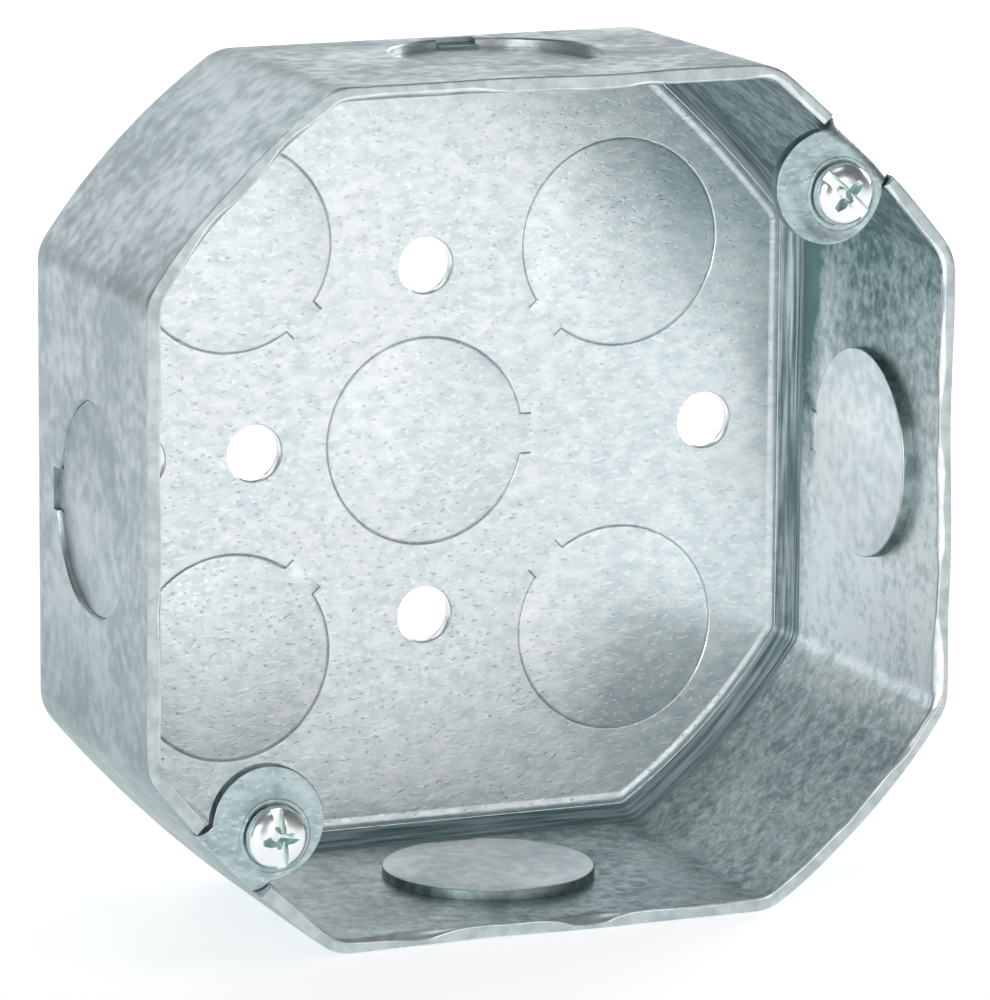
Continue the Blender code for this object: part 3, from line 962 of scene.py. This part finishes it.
def wall_steel(name, light, dark, roughness=0.38, worn_and_painted_light=False, painted_low_shade=False):
    """Drawn sheet: cloudy patches, fine pebbling and faint streaks along the draw.

    One flag gives the inside walls painted light and shade by place, and their rub marks and specks;
    the other paints shade over the lower half.
    """
    n = Nodes(name)
    plain = n.scaled((1, 1, 1))
    patches = n.noise(plain, 80, 4, 0.6, 0.3)
    drawn = n.noise(n.scaled((800, 90, 800)), 1.0, 2, 0.5)
    pebbles = n.noise(plain, 620, 2, 0.5)
    grain = n.noise(plain, 1700, 3, 0.6)
    fine = n.math("ADD", n.math("MULTIPLY", drawn, 0.08), n.math("MULTIPLY", pebbles, 0.42))
    tone = n.math("ADD", n.math("MULTIPLY", patches, 0.5), fine)
    share = n.ramp(tone, 0.38, 0.62)
    if worn_and_painted_light:
        share = n.math("ADD", n.math("MULTIPLY", share, 0.34), n.math("ADD", painted_light_and_shade(n), 0.25))
        share = n.math("ADD", share, n.math("MULTIPLY", squiggles(n, plain), 0.20))
        specks = n.ramp(n.noise(plain, 1400, 2, 0.5), 0.40, 0.68)
        share = n.math("ADD", share, n.math("MULTIPLY", n.math("SUBTRACT", specks, 0.4), 0.17))
    colour = n.mix(share, dark, light)
    # Painted shade over the lower outside walls, darker towards the bottom
    if painted_low_shade:
        low = n.ramp(place_parts(n)[2], 0.016, 0.044, 1.0, 0.0)
        colour = n.mix(n.math("MULTIPLY", low, 0.58), colour, LOW_SHADE_COLOUR)
    rough = n.ramp(tone, 0.35, 0.65, roughness + 0.08, roughness - 0.06)
    normal = n.bump(patches, 0.0004, 0.3)
    normal = n.bump(drawn, 0.000015, 0.5, normal)
    normal = n.bump(pebbles, 0.00005, 0.45, normal)
    normal = n.bump(grain, 0.00002, 0.5, normal)
    return n.done(colour, rough, normal)


def edge_steel(name, light, dark, roughness=0.34, grain=(500, 900, 500)):
    """Sheared or coined steel: bare, and torn or drawn along its length."""
    n = Nodes(name)
    torn = n.noise(n.scaled(grain), 1.0, 3, 0.55)
    haze = n.noise(n.scaled((1, 1, 1)), 600, 2)
    colour = n.mix(n.ramp(torn, 0.35, 0.65), dark, light)
    rough = n.ramp(haze, 0.3, 0.7, roughness - 0.06, roughness + 0.08)
    normal = n.bump(torn, 0.00005, 0.5)
    return n.done(colour, rough, normal)


def zinc(name):
    """Bright zinc plating with a faint haze."""
    n = Nodes(name)
    plain = n.scaled((1, 1, 1))
    haze = n.noise(plain, 700, 3, 0.6)
    colour = n.mix(n.ramp(haze, 0.3, 0.7), (0.88, 0.94, 0.95, 1), (0.95, 0.975, 0.98, 1))
    rough = n.ramp(haze, 0.3, 0.7, 0.22, 0.34)
    normal = n.bump(n.noise(plain, 1400, 2), 0.00002, 0.4)
    return n.done(colour, rough, normal)


PLATE = plate_steel("galvanised_plate", (0.965, 0.99, 1, 1), (0.62, 0.725, 0.76, 1))
EAR = plate_steel("galvanised_ear", (0.60, 0.71, 0.73, 1), (0.27, 0.375, 0.385, 1), 0.40)
OUTSIDE = wall_steel("galvanised_outside", (0.51, 0.59, 0.62, 1), (0.385, 0.465, 0.49, 1), 0.42, painted_low_shade=True)
# The inside walls' colour carries painted light and shade by place, as well as rub marks
INSIDE = wall_steel("galvanised_inside", (0.95, 0.985, 0.99, 1), (0.118, 0.222, 0.23, 1), 0.43, worn_and_painted_light=True)
# A brighter copy of the walls' steel, as painted light on the side slugs' inner faces
LIT_SLUG = wall_steel("side_slug_painted_light", (0.98, 0.99, 1, 1), (0.74, 0.81, 0.83, 1))
BURR = edge_steel("sheared_burr", (0.92, 0.95, 0.96, 1), (0.76, 0.82, 0.84, 1))
CUT = edge_steel("sheared_face", (0.60, 0.665, 0.685, 1), (0.46, 0.525, 0.545, 1), 0.42)
# Bare sheared steel made darker with painted shade, on the ears' edges and the side slugs' sheared sides
SHADED_CUT = edge_steel("ear_edge_shaded", (0.34, 0.42, 0.425, 1), (0.20, 0.27, 0.275, 1), 0.42)
# Drawn lines on the coined bevel and the inside walls' foot, darkened with painted shade in the crease
DRAWN_AND_SHADED = edge_steel("coined_bevel_shaded", (0.60, 0.69, 0.71, 1), (0.20, 0.28, 0.29, 1), 0.38, (90, 2600, 90))
# Zinc in the slot and cross recess, darker and greener as painted shade
NOTCH_SHADE = edge_steel("screw_notch_shade", (0.66, 0.79, 0.76, 1), (0.42, 0.57, 0.54, 1), 0.36)
ZINC = zinc("bright_zinc")


SHELL_MATERIALS = (PLATE, OUTSIDE, INSIDE, BURR, CUT, DRAWN_AND_SHADED)
SIDE_SLUG_MATERIALS = (LIT_SLUG, OUTSIDE, SHADED_CUT)
SCREW_MATERIALS = (ZINC, NOTCH_SHADE)
RIM_ZONE = 1.6
FOOT_DEPTH = 33.2
PLATE_FLAT_REACH = 41.3
PLATE_CORNER_REACH = 44.4
WALL_REACH = 40
STRIP_START = -1.9
NOTCH_REACH = 2.9


def in_side_hole(face):
    """Whether a face is the sheared wall of a hole in one of the four side walls."""
    spot = face.center / MM - Vector((0, RIM_Y, FLAT_HALF))
    for out, along, depth in SIDE_KNOCKOUTS.values():
        middle = (UP if out.x else RIGHT) * along + INWARD * depth
        beside = spot - middle
        beside -= out * beside.dot(out)
        near = beside.length < KNOCKOUT_RADIUS + 0.6 and spot.dot(out) > WALL_REACH
        if near and abs(face.normal.dot(out)) < 0.5:
            return True
    return False


def shell_material(face):
    """Which of the shell's materials a face takes, by where it is and which way it faces."""
    depth = face.center.y / MM - RIM_Y
    flat = abs(face.normal.y)
    x, z = face.center.x / MM, face.center.z / MM - FLAT_HALF
    outward = face.normal.x * x + face.normal.z * z > 0
    past_flats = max(abs(x), abs(z)) > PLATE_FLAT_REACH
    past_corners = (abs(x) + abs(z)) / sqrt(2) > PLATE_CORNER_REACH
    if depth < RIM_ZONE and flat > 0.3:
        return CUT if outward or flat > 0.93 else BURR
    if depth > PLATE_DEPTH - 0.6 and flat > 0.9:
        return PLATE
    if depth > PLATE_DEPTH - 0.4 and not (past_flats or past_corners):
        return BURR
    if in_side_hole(face):
        return BURR
    # The foot of the inside walls, with painted shade in the crease at the plate
    if depth > FOOT_DEPTH and not outward:
        return DRAWN_AND_SHADED
    return OUTSIDE if outward else INSIDE


def side_slug_material(face, matrix):
    """Its inner face takes painted light, its sheared side is darker with painted shade,
    and its outer face is like the walls.
    """
    facing = face.normal.dot((matrix.to_3x3() @ Vector((0, 0, 1))).normalized())
    on_strip = (matrix.inverted() @ (face.center / MM)).x > STRIP_START
    if facing > 0.5:
        return LIT_SLUG
    return OUTSIDE if facing < -0.5 and not on_strip else SHADED_CUT


def screw_material(face, facing):
    """Bright zinc, with painted shade on the walls of the slot and the cross."""
    spot = facing.inverted() @ (face.center / MM)
    in_head = hypot(spot.x, spot.y) < NOTCH_REACH and spot.z > 0.2
    upright = abs(face.normal.dot(facing.to_3x3() @ Vector((0, 0, 1)))) < 0.5
    return NOTCH_SHADE if in_head and upright else ZINC


def dress_by_face(obj, materials, choose):
    """Gives every face the one of these materials that choose says."""
    for material in materials:
        obj.data.materials.append(material)
    for face in obj.data.polygons:
        face.material_index = materials.index(choose(face))


def dress(obj, material):
    obj.data.materials.append(material)


# ---------------------------------------------------------------- the object

shell = build_shell()
dress_by_face(shell, SHELL_MATERIALS, shell_material)
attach(shell, "box")
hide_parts("box_body")

for name, matrix, _ in knockouts():
    if name in SIDE_KNOCKOUTS:
        slug = build_side_slug(name, matrix)
        dress_by_face(slug, SIDE_SLUG_MATERIALS, lambda face: side_slug_material(face, matrix))
    else:
        slug = build_back_slug(name, matrix)
        dress(slug, PLATE)
    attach(slug, "knockout_" + name)
    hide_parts("knockout_" + name)

for wall in SIDE_KNOCKOUTS:
    tie = build_tie(wall)
    dress(tie, INSIDE)
    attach(tie, "box")

for level, side, slot_angle in (("upper", 1, radians(-44)), ("lower", -1, radians(-84))):
    ear = build_ear("ear_" + level, side)
    boss = build_boss("boss_" + level, side)
    dress(boss, EAR)
    for piece in (ear, boss):
        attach(piece, "box")
    screw, thread = build_screw(level, side, slot_angle - ear_angle(side))
    dress(thread, ZINC)
    for piece in (screw, thread):
        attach(piece, "cover_screw_" + level)
    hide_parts("cover_screw_" + level)


# ---------------------------------------------------------------- studio

# Name, azimuth with 0 straight in front, elevation, power in watts
LIGHTS = [
    ("back_left", -165, 12, 1.1),
    ("left", -50, 12, 4.3),
    ("front", 10, 12, 2.1),
    ("right", 115, 12, 8.0),
    ("back_right", 160, 12, 1.5),
    ("high_left", -165, 38, 1.9),
    ("top", 0, 78, 1.3),
]
LIGHT_DISTANCE = 1.3
LIGHT_SIZE = 0.62
LOW_LIGHT_HEIGHT = 0.5
LOW_ELEVATION = 15
AIM = Vector((0, 0, 0.045))
FLOOR_SIZE = 6
FLOOR_GLOW = 0.6
WHITE = (1, 1, 1, 1)
WORLD = 0.15
CAMERA_PLACE = Vector((-0.28939, -0.690122, 0.197574))
CAMERA_FORWARD = Vector((0.37928, 0.90279, -0.20278))
CAMERA_RIGHT = Vector((0.92242, -0.38613, 0.00622))
FOCAL_LENGTH = 7.2669  # as a multiple of the frame's longer side


def add_floor():
    """A pale floor that glows a little, so that it shows almost white."""
    bpy.ops.mesh.primitive_plane_add(size=FLOOR_SIZE, location=(0, 0, 0))
    floor_object = bpy.context.object
    floor_object.name = "floor"
    n = Nodes("pale_floor")
    haze = n.noise(n.scaled((1, 1, 1)), 3, 2)
    colour = n.mix(haze, (0.93, 0.93, 0.93, 1), (0.95, 0.95, 0.95, 1))
    material = n.done(colour, 0.9, n.bump(haze, 0.0001, 0.1), 0.0)
    n.shader.inputs["Emission Color"].default_value = WHITE
    n.shader.inputs["Emission Strength"].default_value = FLOOR_GLOW
    floor_object.data.materials.append(material)


def add_area(name, azimuth, elevation, power):
    """A soft light on a sphere round the box, turned toward it."""
    light = bpy.data.lights.new(name, "AREA")
    light.shape = "RECTANGLE"
    light.size = LIGHT_SIZE
    light.size_y = LOW_LIGHT_HEIGHT if elevation < LOW_ELEVATION else LIGHT_SIZE
    light.energy = power
    around, up = radians(azimuth), radians(elevation)
    away = Vector((sin(around) * cos(up), -cos(around) * cos(up), sin(up)))
    obj = bpy.data.objects.new(name, light)
    obj.location = AIM + away * LIGHT_DISTANCE
    obj.rotation_euler = (-away).to_track_quat("-Z", "Y").to_euler()
    bpy.context.scene.collection.objects.link(obj)


def add_world():
    world = bpy.data.worlds.new("studio")
    world.use_nodes = True
    background = world.node_tree.nodes["Background"]
    background.inputs["Color"].default_value = WHITE
    background.inputs["Strength"].default_value = WORLD
    bpy.context.scene.world = world


def add_camera():
    data = bpy.data.cameras.new("camera")
    data.lens = FOCAL_LENGTH * data.sensor_width
    data.clip_start, data.clip_end = 0.05, 20
    camera = bpy.data.objects.new("camera", data)
    forward = CAMERA_FORWARD.normalized()
    right = CAMERA_RIGHT.normalized()
    right = (right - forward * right.dot(forward)).normalized()
    up = right.cross(forward)
    turn = Matrix((right, up, -forward)).transposed().to_4x4()
    camera.matrix_world = Matrix.Translation(CAMERA_PLACE) @ turn
    bpy.context.scene.collection.objects.link(camera)
    bpy.context.scene.camera = camera


add_floor()
add_world()
for light in LIGHTS:
    add_area(*light)
add_camera()
bpy.context.scene.view_settings.view_transform = "Standard"
